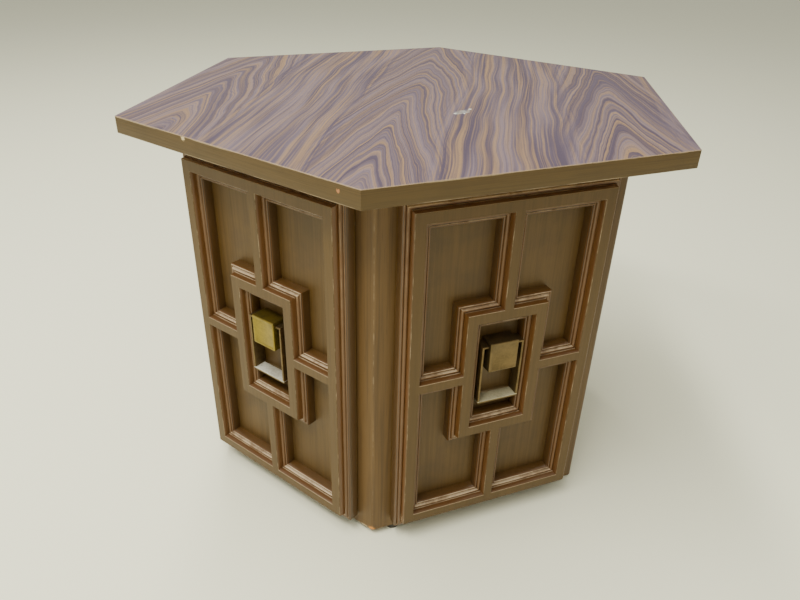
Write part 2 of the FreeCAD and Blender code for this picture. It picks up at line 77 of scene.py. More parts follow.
DOORS = {"left": FACINGS["front_left"], "right": FACINGS["front_right"]}

# The moulding's section: (across, down) from a flat bar's edge.
COVE_LINES = ((0.0, 0.0), (0.0004, 0.0004), (0.0011, 0.0050), (0.0015, 0.0070))
WIDE_BEAD_PLACE = (0.0037, 0.0085)
NARROW_BEAD_PLACE = (0.00745, 0.0096)
BEAD_RISE = 0.95

# Tones of bared board, chips and paint.
BARE_CORNER = (0.60, 0.24, 0.045)
BARE_CORE = (0.62, 0.48, 0.28)
BAND_CHIP_TONE = (0.42, 0.17, 0.06)
DOOR_CHIP_TONE = (0.45, 0.19, 0.05)
BARE_RIM = (0.45, 0.33, 0.20)
PAINT_TONE = (0.85, 0.85, 0.82)
SMEAR_TONE = (0.42, 0.44, 0.42)
FLOOR_CLOUD = (0.7, 0.7, 0.62)

# Marks of use, each at its place on the object.
PAINT_SPOTS = ((0.0585, -0.0876, 0.0026), (0.0690, -0.0860, 0.0020), (0.0740, -0.0640, 0.0028))
BAND_DENT = (-0.2046, -0.2378, 0.4740)
BAND_CHIP = (-0.0222, -0.3432, 0.4687)
# The next mark is worn lacquer, and its pale tone is partly a painted highlight.
WEAR_AND_HIGHLIGHT_PATCH = (0.0406, -0.2862, 0.037)
DOOR_CHIP = (0.2335, -0.1644, 0.024)

# Softboxes: name, place, what each points at, its two sides and its power.
LAMPS = (
    ("ceiling_back", (-0.6, -0.15, 2.7), (-0.2, -0.1, 0.2), (4.2, 0.4), 95),
    ("ceiling_front", (-0.7, -1.5, 2.7), (-0.1, -0.3, 0.2), (4.2, 0.4), 66),
    ("left_key", (-1.7, -1.5, 2.2), (0, 0, 0.25), (1.2, 1.2), 13),
)
LAMP_TINT = (1.0, 0.97, 0.84)
AIR_TINT = (1.0, 0.98, 0.86, 1.0)
AIR_STRENGTH = 0.50
LENS_SHIFT = (0.0155, 0.0344)


def length(name, description, default):
    """A size in metres."""
    return bpy.props.FloatProperty(
        name=name, description=description, default=default, unit="LENGTH", subtype="DISTANCE"
    )


def colour(name, description, default):
    """A colour without alpha."""
    return bpy.props.FloatVectorProperty(
        name=name, description=description, default=default, size=3, subtype="COLOR",
        min=0.0, max=1.0,
    )


class CabinetTopSizes(bpy.types.PropertyGroup):
    """Sizes of the table top and the case."""

    band_thick: length("Edge band", "Thickness of the bands on the top's edges", 0.0015)
    band_joint: length("Band joint", "Gap at each end of an edge band", 0.0001)
    band_ease: length("Band easing", "Rounding along the bands' lower edges", 0.0008)
    laminate_ease: length("Laminate easing", "Filed bevel on the laminate's edge", 0.0004)
    panel_thick: length("Side panel", "Thickness of the case's side panels", 0.016)
    corner_ease: length("Corner easing", "How far the case's corners are rubbed down", 0.0011)
    opening_width: length("Opening width", "Width of a door opening", 0.2246)
    opening_height: length("Opening height", "Height of a door opening", 0.4)


class CabinetDoorSizes(bpy.types.PropertyGroup):
    """Sizes of a moulded door front, levels measured out from the case face."""

    front_width: length("Front width", "Width of the moulded front at its back", 0.2446)
    lip_gap: length("Lip gap", "Gap between the case face and the front's back", 0.002)
    front_proud: length("Flats", "Level of the flat bars", 0.025)
    field_proud: length("Fields", "Level of the sunk fields", 0.0035)
    flank_run: length("Moulding run", "Width of the moulding beside a flat bar", 0.0093)
    flank_fall: length("Moulding fall", "Depth of the moulding below a flat bar", 0.0105)
    wide_bead: length("Wide bead", "Half the width of the bead beside the flat", 0.002)
    narrow_bead: length("Narrow bead", "Half the width of the bead beside the field", 0.00115)
    outer_bar: length("Outer bar", "Width of the flat bars round the door", 0.0115)
    divider_bar: length("Divider", "Width of the bars between the wells", 0.0103)
    frame_width: length("Middle frame width", "Width of the frame round the pull", 0.096)
    frame_height: length("Middle frame height", "Height of the frame round the pull", 0.162)
    frame_bar: length("Middle frame bar", "Width of that frame's bars", 0.01175)
    frame_drop: length("Middle frame drop", "How far that frame sits below the middle", 0.003)


class CabinetPullSizes(bpy.types.PropertyGroup):
    """Sizes of a pull block and its ring."""

    block_width: length("Block width", "Width of the pull block", 0.035)
    block_ease: length("Block easing", "Rounding of the block's edges", 0.0009)
    ring_width: length("Ring width", "Outer width of the ring", 0.052)
    ring_thick: length("Strip", "Thickness of the ring's strip", 0.0025)
    ring_depth: length("Strip depth", "Depth of the ring's strip, front to back", 0.016)
    ring_proud: length("Ring front", "Level of the ring's front edge", 0.022)
    ring_ease: length("Ring easing", "Rounding of the strip's edges", 0.0006)
    side_gap: length("Side gap", "Gap between the block's side and the ring's ends", 0.0003)
    peg_radius: length("Peg", "Radius of the pegs that the ring turns on", 0.0011)
    peg_length: length("Peg length", "How far a peg enters the block", 0.006)


class CabinetFinishes(bpy.types.PropertyGroup):
    """Colours of the finishes."""

    case_brown: colour("Case", "Stained case", (0.128, 0.067, 0.0165))
    case_dark: colour("Case grain", "Dark grain of the case", (0.058, 0.029, 0.008))
    door_brown: colour("Door", "Flats and fields of the doors", (0.118, 0.062, 0.0118))
    door_dark: colour("Door grain", "Dark grain of the doors", (0.067, 0.034, 0.0045))
    moulding_red: colour("Mouldings", "Redder toning of the mouldings", (0.122, 0.048, 0.012))
    # This dark tone paints cloudy staining on the door fields and painted shade in the mouldings'
    # grooves, walls, coves and undersides.
    stain_and_shade: colour("Stain", "Dark stain in the grooves", (0.030, 0.014, 0.005))
    # This pale tone also paints the highlights on the doors' upward-facing beads and arrises, and on
    # the right door's worn area.
    rubbed: colour("Rubbed edges", "Pale wear on the edges", (0.56, 0.43, 0.28))
    top_mauve: colour("Top ground", "Ground of the laminate", (0.170, 0.126, 0.158))
    top_dark: colour("Top grain", "Dark grain of the laminate", (0.060, 0.042, 0.076))
    top_gold: colour("Top streaks", "Golden streaks of the laminate", (0.290, 0.180, 0.094))
    band_brown: colour("Edge band", "Edge bands", (0.086, 0.048, 0.010))
    chipboard: colour("Chipboard", "Raw board", (0.36, 0.25, 0.14))
    brass: colour("Brass", "Antique brass of the pull blocks", (0.27, 0.20, 0.032))
    # A darker copy of the brass for the right pull block: its darkness is painted shade.
    shaded_brass: colour("Dull brass", "Browned brass of the right pull block", (0.165, 0.112, 0.050))
    bronze: colour("Bronze", "Dark bronze of the rings", (0.17, 0.115, 0.050))


class CabinetStage(bpy.types.PropertyGroup):
    """The floor, the lights and the camera."""

    camera_place: bpy.props.FloatVectorProperty(
        name="Camera", description="Where the camera stands", size=3, subtype="TRANSLATION",
        unit="LENGTH", default=(0.10335, -0.89548, 0.67401),
    )
    camera_turn: bpy.props.FloatProperty(
        name="Turn", description="Heading, from +Y towards -X", subtype="ANGLE", unit="ROTATION",
        default=math.radians(8.331),
    )
    camera_fall: bpy.props.FloatProperty(
        name="Fall", description="How far the view points below level", subtype="ANGLE",
        unit="ROTATION", default=math.radians(31.02),
    )
    camera_roll: bpy.props.FloatProperty(
        name="Roll", description="Lean of the camera", subtype="ANGLE", unit="ROTATION",
        default=math.radians(1.026),
    )
    camera_lens: bpy.props.FloatProperty(
        name="Lens", description="Focal length", subtype="DISTANCE_CAMERA", unit="CAMERA",
        default=31.27,
    )
    floor_colour: colour("Floor", "Plain floor", (0.96, 0.97, 0.78))


GROUPS = {
    "cabinet_top": CabinetTopSizes,
    "cabinet_door": CabinetDoorSizes,
    "cabinet_pull": CabinetPullSizes,
    "cabinet_finish": CabinetFinishes,
    "cabinet_stage": CabinetStage,
}


# ---- bench tools -----------------------------------------------------------

def pick_object(target):
    """Only this object is selected and active."""
    bpy.ops.object.select_all(action="DESELECT")
    target.select_set(True)
    bpy.context.view_layer.objects.active = target


def block(name, low, high):
    """A squared block between two corners, its place in its mesh."""
    bpy.ops.object.select_all(action="DESELECT")
    low, high = Vector(low), Vector(high)
    bpy.ops.mesh.primitive_cube_add(size=1, location=(low + high) / 2, scale=high - low)
    made = bpy.context.object
    made.name = name
    made.data.name = name
    settle(made)
    return made


def settle(target):
    """Put the object's place, turn and scale into its mesh."""
    pick_object(target)
    bpy.ops.object.transform_apply(location=True, rotation=True, scale=True)


def choose(target, faces=None, edges=None):
    """In edit mode, select only the faces or edges that pass the given test."""
    bpy.ops.mesh.select_mode(type="FACE" if faces else "EDGE")
    bpy.ops.mesh.select_all(action="DESELECT")
    mesh = bmesh.from_edit_mesh(target.data)
    found = 0
    for element in mesh.faces if faces else mesh.edges:
        if (faces or edges)(element):
            element.select_set(True)
            found += 1
    mesh.select_flush_mode()
    bmesh.update_edit_mesh(target.data)
    if not found:
        raise RuntimeError(f"nothing to select on {target.name}")


def start_edit(target):
    """Enter edit mode on one object."""
    pick_object(target)
    bpy.ops.object.mode_set(mode="EDIT")


def end_edit():
    """Leave edit mode."""
    bpy.ops.object.mode_set(mode="OBJECT")


def slice_off(target, place, normal):
    """Cut away what lies beyond a plane and close the cut."""
    start_edit(target)
    bpy.ops.mesh.select_all(action="SELECT")
    bpy.ops.mesh.bisect(plane_co=place, plane_no=normal, use_fill=True, clear_outer=True)
    end_edit()


def ease_edges(target, width, segments=2, angle=30):
    """Round every sharp edge by a bevel that is then applied."""
    pick_object(target)
    bevel = target.modifiers.new("Ease", "BEVEL")
    bevel.width = width
    bevel.segments = segments
    bevel.limit_method = "ANGLE"
    bevel.angle_limit = math.radians(angle)
    bpy.ops.object.modifier_apply(modifier=bevel.name)


def carve(target, cutter):
    """Cut one object out of another and throw the cutter away."""
    pick_object(target)
    cut = target.modifiers.new("Carve", "BOOLEAN")
    cut.operation = "DIFFERENCE"
    cut.object = cutter
    cut.solver = "EXACT"
    bpy.ops.object.modifier_apply(modifier=cut.name)
    bpy.data.objects.remove(cutter)


def smooth(target, angle=32):
    """Smooth shading that keeps the sharp edges."""
    pick_object(target)
    bpy.ops.object.shade_smooth_by_angle(angle=math.radians(angle))


def stand_on_face(target, facing):
    """Move a piece drawn at the origin, with -Y outward, onto a face of the case."""
    heading = math.radians(facing)
    target.rotation_euler.z = heading + math.pi / 2
    target.location.x = CASE_APOTHEM * math.cos(heading)
    target.location.y = CASE_APOTHEM * math.sin(heading)
    settle(target)


def copy_piece(source, name):
    """A copy with its own mesh."""
    made = source.copy()
    made.data = source.data.copy()
    made.name = name
    made.data.name = name
    bpy.context.scene.collection.objects.link(made)
    return made


def finish_piece(piece, material, body, slot, *nodes):
    """Give a piece its finish, its body and the nodes that it stands for."""
    piece.data.materials.clear()
    piece.data.materials.append(material)
    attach(piece, body)
    if nodes:
        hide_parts(*nodes)


def wear_finish(node, material):
    """Give a node of the frame a finish."""
    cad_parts[node].material_slots[0].material = material


# ---- shader tools ----------------------------------------------------------

class Value:
    """A number in a material. Arithmetic on it adds Math nodes."""

    def __init__(self, finish, socket):
        self.finish = finish
        self.socket = socket

    def maths(self, operation, *others):
        node = self.finish.add("ShaderNodeMath", {"operation": operation})
        for place, item in enumerate((self, *others)):
            self.finish.feed(node.inputs[place], item)
        return Value(self.finish, node.outputs[0])

    def reflected(self, operation, other):
        node = self.finish.add("ShaderNodeMath", {"operation": operation})
        self.finish.feed(node.inputs[0], other)
        self.finish.feed(node.inputs[1], self)
        return Value(self.finish, node.outputs[0])

    def __add__(self, other):
        return self.maths("ADD", other)

    __radd__ = __add__

    def __sub__(self, other):
        return self.maths("SUBTRACT", other)

    def __rsub__(self, other):
        return self.reflected("SUBTRACT", other)

    def __mul__(self, other):
        return self.maths("MULTIPLY", other)

    __rmul__ = __mul__

    def __truediv__(self, other):
        return self.maths("DIVIDE", other)

    def __rtruediv__(self, other):
        return self.reflected("DIVIDE", other)

    def __pow__(self, other):
        return self.maths("POWER", other)

    def __abs__(self):
        return self.maths("ABSOLUTE")

    def lower(self, other):
        return self.maths("MINIMUM", other)

    def higher(self, other):
        return self.maths("MAXIMUM", other)

    def fraction(self):
        return self.maths("FRACT")

    def root(self):
        return self.maths("SQRT")

    def rise(self, low, high):
        """0 below low, 1 above high, smooth between."""
        node = self.finish.add(
            "ShaderNodeMapRange", {"interpolation_type": "SMOOTHSTEP", "clamp": True},
            {"From Min": low, "From Max": high},
        )
        self.finish.feed(node.inputs["Value"], self)
        return Value(self.finish, node.outputs["Result"])

    def band(self, low, high, soft):
        """1 between low and high, with soft sides."""
        return self.rise(low - soft, low) * (1 - self.rise(high, high + soft))


class Finish:
    """A material and the nodes in it."""

    def __init__(self, name, specular=0.5):
        self.material = bpy.data.materials.new(name)
        self.material.use_nodes = True
        self.nodes = self.material.node_tree.nodes
        self.links = self.material.node_tree.links
        self.shader = self.nodes["Principled BSDF"]
        self.shader.inputs["Specular IOR Level"].default_value = specular
        place = self.add("ShaderNodeTexCoord")
        self.place = place.outputs["Object"]
        split = self.add("ShaderNodeSeparateXYZ", inputs={"Vector": self.place})
        self.x, self.y, self.z = (Value(self, socket) for socket in split.outputs)

    def add(self, kind, settings=None, inputs=None):
        """Add a node: its settings first, then its sockets' values or links."""
        node = self.nodes.new(kind)
        for key, setting in (settings or {}).items():
            setattr(node, key, setting)
        for key, item in (inputs or {}).items():
            self.feed(node.inputs[key], item)
        return node

    def feed(self, socket, item):
        """Link a value or a socket, or set a number or colour."""
        if isinstance(item, Value):
            self.links.new(item.socket, socket)
        elif isinstance(item, bpy.types.NodeSocket):
            self.links.new(item, socket)
        elif hasattr(item, "__len__") and len(item) == 3 and socket.type == "RGBA":
            socket.default_value = (*item, 1.0)
        else:
            socket.default_value = item

    def point(self, x, y, z):
        """A place made of three values."""
        node = self.add("ShaderNodeCombineXYZ", inputs={"X": x, "Y": y, "Z": z})
        return node.outputs[0]

    def noise(self, where, scale, detail=3.0, roughness=0.55):
        """Cloudy noise, about 0.5 in the middle."""
        node = self.add(
            "ShaderNodeTexNoise", {"noise_dimensions": "3D"},
            {"Vector": where, "Scale": scale, "Detail": detail, "Roughness": roughness},
        )
        return Value(self, node.outputs[0])

    def mix(self, amount, first, second):
        """A colour between two colours."""
        node = self.add("ShaderNodeMix", {"data_type": "RGBA"})
        self.feed(node.inputs["Factor"], amount)
        sockets = [socket for socket in node.inputs if socket.type == "RGBA"]
        self.feed(sockets[0], first)
        self.feed(sockets[1], second)
        return next(socket for socket in node.outputs if socket.type == "RGBA")

    def bump(self, height, depth, strength=1.0):
        """Relief of a height value, depth in metres."""
        node = self.add(
            "ShaderNodeBump", inputs={"Height": height, "Strength": strength, "Distance": depth}
        )
        self.feed(self.shader.inputs["Normal"], node.outputs[0])

    def paint(self, base, roughness=None, metallic=None, coat=None):
        """Connect what varies over the surface."""
        self.feed(self.shader.inputs["Base Color"], base)
        for socket, item in (("Roughness", roughness), ("Metallic", metallic), ("Coat Weight", coat)):
            if item is not None:
                self.feed(self.shader.inputs[socket], item)
        return self.material


def spot(finish, place, radius):
    """1 inside a small ragged spot round a place, 0 outside."""
    x, y, z = place
    away = ((finish.x - x) ** 2 + (finish.y - y) ** 2 + (finish.z - z) ** 2).root()
    ragged = finish.noise(finish.place, 900.0, 2.0) * radius
    return 1 - (away + ragged).rise(radius * 0.9, radius * 1.3)


# ---- finishes --------------------------------------------------------------

def vertical_grain(finish):
    """Long upright wood streaks: broad tone, fine lines and dark pores."""
    broad_at = finish.point(finish.x * 26, finish.y * 26, finish.z * 1.3)
    fine_at = finish.point(finish.x * 260, finish.y * 260, finish.z * 6.0)
    pore_at = finish.point(finish.x * 800, finish.y * 800, finish.z * 30.0)
    broad = finish.noise(broad_at, 1.0, 3.0)
    fine = finish.noise(fine_at, 1.0, 4.0, 0.6)
    pores = finish.noise(pore_at, 1.0, 2.0, 0.7)
    return broad, fine, pores


def corner_distance(finish):
    """Distance from the nearest upright corner of the case, seen from above."""
    radius = CASE_SIDE
    side_x = radius * math.cos(math.radians(30))
    side_y = radius * math.sin(math.radians(30))
    wide, deep = abs(finish.x), abs(finish.y)
    to_front = (wide ** 2 + (deep - radius) ** 2).root()
    to_side = ((wide - side_x) ** 2 + (deep - side_y) ** 2).root()
    return to_front.lower(to_side)


def case_finish(colours):
    """Stained veneer with upright grain, rubbed pale along the corners."""
    finish = Finish("case_veneer", specular=0.45)
    broad, fine, pores = vertical_grain(finish)
    ground = finish.mix(broad.rise(0.35, 0.68) * 0.6, colours.case_brown, colours.case_dark)
    toned = finish.mix(fine.rise(0.42, 0.66) * 0.55, ground, colours.case_dark)
    toned = finish.mix(pores.rise(0.60, 0.72) * 0.5, toned, colours.case_dark)
    rub = finish.noise(finish.point(finish.x * 60, finish.y * 60, finish.z * 60), 1.0, 4.0)
    edge = (1 - corner_distance(finish).rise(0.0006, 0.0016)) * rub.rise(0.40, 0.75) * 0.6
    low_edge = (1 - finish.z.rise(CASE_BOTTOM + 0.0006, CASE_BOTTOM + 0.0024)) * rub.rise(0.52, 0.6)
    toned = finish.mix(edge.higher(low_edge) * 0.8, toned, colours.rubbed)
    chip = spot(finish, (-0.002, -CASE_SIDE, CASE_BOTTOM), 0.0075)
    toned = finish.mix(chip, toned, BARE_CORNER)
    gloss = 0.40 + broad * 0.10 + fine * 0.12 + edge * 0.2
    finish.bump(pores * 0.7 + fine * 0.3, 0.00012, 0.35)
    return finish.paint(toned, gloss)


def stained_finish(name, shade, dark):
    """Plain stained board, dull and lightly grained."""
    finish = Finish(name, specular=0.35)
    broad, fine, pores = vertical_grain(finish)
    toned = finish.mix(broad.rise(0.35, 0.70) * 0.4, shade, dark)
    toned = finish.mix(fine.rise(0.42, 0.66) * 0.5, toned, dark)
    toned = finish.mix(pores.rise(0.56, 0.70) * 0.5, toned, dark)
    finish.bump(pores, 0.00012, 0.35)
    return finish.paint(toned, 0.52 + fine * 0.14)


def door_levels(finish, facing, sizes):
    """How far out a place is from the case face, and masks for each level of a moulding."""
    heading = math.radians(facing)
    outward = finish.x * math.cos(heading) + finish.y * math.sin(heading)
    proud = outward - CASE_APOTHEM
    front, field = sizes.front_proud, sizes.field_proud
    deep = front - sizes.flank_fall
    return {
        "proud": proud,
        "flat": proud.rise(front - 0.0007, front - 0.0002),
        "slope": proud.band(field + 0.0006, front - 0.0010, 0.0004),
        "wall": proud.band(field + 0.0002, deep - 0.0004, 0.0003),
        "groove": proud.band(deep + 0.0008, deep + 0.0014, 0.0003),
        "cove": proud.band(front - 0.0066, front - 0.0012, 0.0005),
        "foot": proud.band(field - 0.0005, field + 0.0009, 0.0006),
        "arris": proud.band(front - 0.00042, front - 0.00004, 0.00004),
        "narrow_top": proud.band(front - 0.0094, front - 0.0085, 0.0002),
        "wide_top": proud.band(front - 0.0081, front - 0.0066, 0.0002),
    }


def upward(finish):
    """How far a face looks up: 1 for level, 0 for upright, below 0 for the undersides."""
    normal = finish.add("ShaderNodeNewGeometry").outputs["Normal"]
    parts = finish.add("ShaderNodeSeparateXYZ", inputs={"Vector": normal})
    return Value(finish, parts.outputs["Z"])


def moulding_tone_and_shade(finish, toned, colours, level, up):
    """Red-brown mouldings, with painted shade in their grooves, walls, coves and undersides, and
    cloudy staining on the fields.
    """
    streak_at = finish.point(finish.x * 40, finish.y * 40, finish.z * 40)
    streak = finish.noise(streak_at, 1.0, 3.0)
    slope, wall = level["slope"], level["wall"]
    ledge = up.rise(0.2, 0.7)
    redness = slope * (0.55 + streak * 0.45) * (1 - wall * 0.6)
    reddened = finish.mix(redness, toned, colours.moulding_red)
    # Painted shade: darker walls (less where they face up), grooves and upward-facing coves.
    shade = (wall * (0.5 - ledge * 0.12)).higher(level["groove"] * 0.8)
    shade = shade.higher(level["cove"] * ledge * 0.22)
    stained = finish.mix(shade, reddened, colours.stain_and_shade)
    # Painted shade on the undersides of the mouldings.
    underside_shade = (1 - up.rise(-0.5, 0.0)) * slope.higher(wall)
    stained = finish.mix(underside_shade * 0.55, stained, colours.stain_and_shade)
    cloud = finish.noise(finish.place, 22.0, 4.0)
    return finish.mix(level["foot"] * cloud.rise(0.45, 0.75) * 0.35, stained, colours.stain_and_shade)


def moulding_wear_and_highlight(finish, level, up, scuff):
    """Rubbed arrises, a faint rub along the bead tops, and painted highlights along the bead tops and
    arrises that face up.
    """
    long_scuff = finish.noise(finish.place, 30.0, 2.0)
    worn = level["arris"] * (scuff * 0.6 + long_scuff * 0.5).rise(0.50, 0.72) * 0.7
    # Painted highlight: bead tops turn pale where they face up, with only a faint rub elsewhere.
    rub = (level["narrow_top"] + level["wide_top"]) * (0.04 + up.rise(0.12, 0.42) * 0.96)
    worn = worn.higher(rub * (0.3 + (scuff * 0.5 + long_scuff * 0.5).rise(0.40, 0.56) * 0.6))
    # Painted highlight on the arrises that face up.
    return worn.higher(level["arris"] * up.rise(0.2, 0.7) * 0.6)


def door_finish(name, facing, colours, sizes):
    """Moulded wood grain: brown flats and fields, redder mouldings with painted shade, rubbed edges,
    and painted highlights on the upward-facing beads and arrises.
    """
    finish = Finish(name, specular=0.4)
    level = door_levels(finish, facing, sizes)
    up = upward(finish)
    slope = level["slope"]
    broad, fine, pores = vertical_grain(finish)
    ground = finish.mix(broad.rise(0.30, 0.74) * 0.45, colours.door_brown, colours.door_dark)
    toned = finish.mix(fine.rise(0.40, 0.66) * 0.55, ground, colours.door_dark)
    toned = finish.mix(pores.rise(0.52, 0.68) * 0.45, toned, colours.door_dark)
    toned = finish.mix(level["flat"] * 0.50, toned, colours.door_dark)
    stained = moulding_tone_and_shade(finish, toned, colours, level, up)
    scuff = finish.noise(finish.place, 95.0, 5.0, 0.65)
    worn = moulding_wear_and_highlight(finish, level, up, scuff)
    # Pale mix: wear on the arrises, and painted highlights on the upward-facing beads and arrises.
    toned = finish.mix(worn * 0.85, stained, colours.rubbed)
    if facing == DOORS["right"]:
        # On the right door, a pale scuffed area at the lower left: worn lacquer, partly a painted
        # highlight.
        wear_and_highlight_patch = spot(finish, WEAR_AND_HIGHLIGHT_PATCH, 0.013) * slope
        toned = finish.mix(wear_and_highlight_patch * scuff.rise(0.35, 0.60) * 0.8, toned, colours.rubbed)
        toned = finish.mix(spot(finish, DOOR_CHIP, 0.0045), toned, DOOR_CHIP_TONE)
    gloss = 0.40 + broad * 0.10 + fine * 0.08 + worn * 0.2 - slope * 0.12
    finish.bump(pores * 0.5 + fine * 0.5, 0.00014, 0.35)
    finish.shader.inputs["Coat Roughness"].default_value = 0.14
    coat = slope * (up.rise(0.2, 0.7) * 0.65 + 0.15) + 0.05
    return finish.paint(toned, gloss, coat=coat)


def arched_grain(finish):
    """A function that draws noise along rows of pointed arches and the streaks beside them."""
    pitch = TOP_RADIUS * 0.69
    sway = finish.noise(finish.point(finish.x * 5, finish.y * 3.0, 0.0), 1.0, 2.0) - 0.5
    across = finish.x + sway * 0.035 + TOP_RADIUS * 0.005
    repeat = ((across / pitch + 8.5).fraction() - 0.5) * pitch
    away = (repeat ** 2 + 0.00006).root()
    lean = finish.noise(finish.point(finish.x * 16, finish.y * 3.0, 0.3), 1.0, 2.0) - 0.5
    ripple = finish.noise(finish.point(finish.x * 75, finish.y * 9.0, 0.7), 1.0, 2.0) - 0.5
    arch = finish.y + away * 4.6 + away ** 2 * 14.0 + lean * 0.13 + ripple * 0.035
    streak = across + lean * 0.012 + ripple * 0.004
    beside = away.rise(0.040, 0.078)

    def grain(along, beyond, depth):
        """Noise drawn out along the arches, and along the streaks beside them."""
        arched = finish.noise(finish.point(arch * along, finish.x * 3.0, depth), 1.0, 2.0, 0.6)
        straight_at = finish.point(streak * beyond, finish.y * 2.2, depth)
        straight = finish.noise(straight_at, 1.0, 2.0, 0.6)
        return arched + (straight - arched) * beside

    return grain


def top_marks(finish, toned, worn):
    """Paint spots and a pale smear near the middle of the top, and the bared rim."""
    wide = abs(finish.x)
    reach = wide.higher(wide * 0.5 + abs(finish.y) * math.cos(math.radians(30)))
    edge = TOP_RADIUS * math.cos(math.radians(30))
    nick = finish.noise(finish.place, 60.0, 4.0)
    rim = reach.rise(edge - 0.0009, edge)
    toned = finish.mix(rim * (0.35 + nick * 0.6), toned, BARE_RIM)
    for x, y, size in PAINT_SPOTS:
        toned = finish.mix(spot(finish, (x, y, TOP_SURFACE), size), toned, PAINT_TONE)
    slant = (finish.y - finish.x * 0.9).band(-0.145, -0.132, 0.003)
    smear = finish.x.band(0.0590, 0.0735, 0.0015) * slant
    return finish.mix(smear * worn.rise(0.30, 0.60) * 0.55, toned, SMEAR_TONE)


def laminate_finish(colours):
    """Printed rosewood grain: rows of pointed arches between straight streaks."""
    finish = Finish("top_laminate", specular=0.3)
    grain = arched_grain(finish)
    broad = grain(20, 40, 0.0)
    lines = grain(48, 210, 2.0)
    fine = grain(170, 620, 4.0)
    pores = finish.noise(finish.point(finish.x * 900, finish.y * 28.0, 0.0), 1.0, 2.0, 0.7)
    ground = finish.mix(broad.rise(0.36, 0.62), colours.top_mauve, colours.top_dark)
    gold = lines.rise(0.46, 0.66) * (0.45 + broad * 0.6)
    toned = finish.mix(gold, ground, colours.top_gold)
    toned = finish.mix((1 - lines.rise(0.34, 0.47)) * 0.65, toned, colours.top_dark)
    toned = finish.mix(fine.rise(0.52, 0.62) * 0.45, toned, colours.top_dark)
    toned = finish.mix((1 - fine.rise(0.38, 0.48)) * 0.45, toned, colours.top_gold)
    toned = finish.mix(pores.rise(0.56, 0.70) * 0.40, toned, colours.top_dark)
    worn = finish.noise(finish.place, 110.0, 4.0, 0.7)
    toned = top_marks(finish, toned, worn)
    gloss = 0.33 + worn * 0.12 + lines * 0.08
    finish.bump(pores * 0.6 + fine * 0.4, 0.00006, 0.25)
    return finish.paint(toned, gloss)


def band_finish(colours):
    """Plain brown edge band with faint level grain."""
    finish = Finish("edge_band", specular=0.4)
    level_at = finish.point(finish.x * 14, finish.y * 14, finish.z * 900)
    grain = finish.noise(level_at, 1.0, 4.0, 0.6)
    cloud = finish.noise(finish.place, 18.0, 3.0)
    dark = tuple(channel * 0.62 for channel in colours.band_brown)
    toned = finish.mix(grain.rise(0.40, 0.66) * 0.55, colours.band_brown, dark)
    toned = finish.mix(cloud.rise(0.45, 0.75) * 0.35, toned, dark)
    low = 1 - finish.z.rise(TOP_UNDERSIDE + 0.0003, TOP_UNDERSIDE + 0.0013)
    high = finish.z.rise(CORE_TOP - 0.0009, CORE_TOP - 0.0001)
    toned = finish.mix((low + high) * cloud.rise(0.46, 0.62) * 0.55, toned, colours.rubbed)
    toned = finish.mix(spot(finish, BAND_DENT, 0.0042), toned, BARE_CORE)
    toned = finish.mix(spot(finish, BAND_CHIP, 0.0030), toned, BAND_CHIP_TONE)
    finish.bump(grain, 0.00008, 0.3)
    return finish.paint(toned, 0.40 + grain * 0.18)


def chipboard_finish(name, shade):
    """Raw pressed board with flakes."""
    finish = Finish(name, specular=0.3)
    flakes_at = finish.point(finish.x * 1.0, finish.y * 1.0, finish.z * 2.4)
    cells = finish.add(
        "ShaderNodeTexVoronoi", {"feature": "F1"}, {"Vector": flakes_at, "Scale": 420.0}
    )
    flakes = Value(finish, cells.outputs["Distance"])
    dust = finish.noise(finish.place, 160.0, 4.0)
    dark = tuple(channel * 0.55 for channel in shade)
    pale = tuple(min(1.0, channel * 1.35) for channel in shade)
    toned = finish.mix(flakes.rise(0.25, 0.75), pale, shade)
    toned = finish.mix(dust.rise(0.48, 0.68) * 0.6, toned, dark)
    finish.bump(flakes + dust, 0.0003, 0.5)
    return finish.paint(toned, 0.75 + dust * 0.2)


def metal_finish(name, shade, dark, roughness, tarnish, pale=None, highlight_band=None):
    """Cast or rolled metal, tarnished in patches; a pale tone, when given, paints a highlight as a
    pale, less metallic band at a given height.
    """
    finish = Finish(name)
    painted_highlight = 0.0
    cloud = finish.noise(finish.place, 55.0, 5.0, 0.6)
    speck = finish.noise(finish.place, 420.0, 3.0)
    brushed = finish.noise(finish.point(finish.x * 90, finish.y * 90, finish.z * 1500), 1.0, 3.0)
    toned = finish.mix((cloud * 0.7 + speck * 0.3).rise(0.40, 0.66) * tarnish, shade, dark)
    toned = finish.mix(brushed.rise(0.45, 0.70) * 0.25, toned, dark)
    if pale is not None:
        low, high = highlight_band
        patchy = (cloud * 0.5 + speck * 0.5).rise(0.35, 0.6)
        # Painted highlight: the band turns pale and less metallic.
        painted_highlight = finish.z.band(low, high, 0.0003) * (0.7 + patchy * 0.3)
        toned = finish.mix(painted_highlight, toned, pale)
    finish.bump(speck * 0.5 + brushed * 0.5, 0.00006, 0.3)
    metallic = 0.85 + cloud * 0.1 - painted_highlight * 0.6
    return finish.paint(toned, roughness + cloud * 0.14 + speck * 0.08 + painted_highlight * 0.1, metallic)


def plastic_finish(name, shade, roughness):
    """Moulded plastic or rubber with a fine texture and handling marks."""
    finish = Finish(name, specular=0.4)
    texture = finish.noise(finish.place, 1300.0, 2.0)
    cloud = finish.noise(finish.place, 70.0, 4.0)
    dark = tuple(channel * 0.75 for channel in shade)
    toned = finish.mix(cloud.rise(0.42, 0.68) * 0.6, shade, dark)
    finish.bump(texture, 0.00008, 0.3)
    return finish.paint(toned, roughness + cloud * 0.15)


def floor_finish(shade):
    """Plain pale floor."""
    finish = Finish("studio_floor", specular=0.2)
    cloud = finish.noise(finish.place, 3.0)
    return finish.paint(finish.mix(cloud * 0.04, shade, FLOOR_CLOUD), 0.7)


# ---- pieces ----------------------------------------------------------------

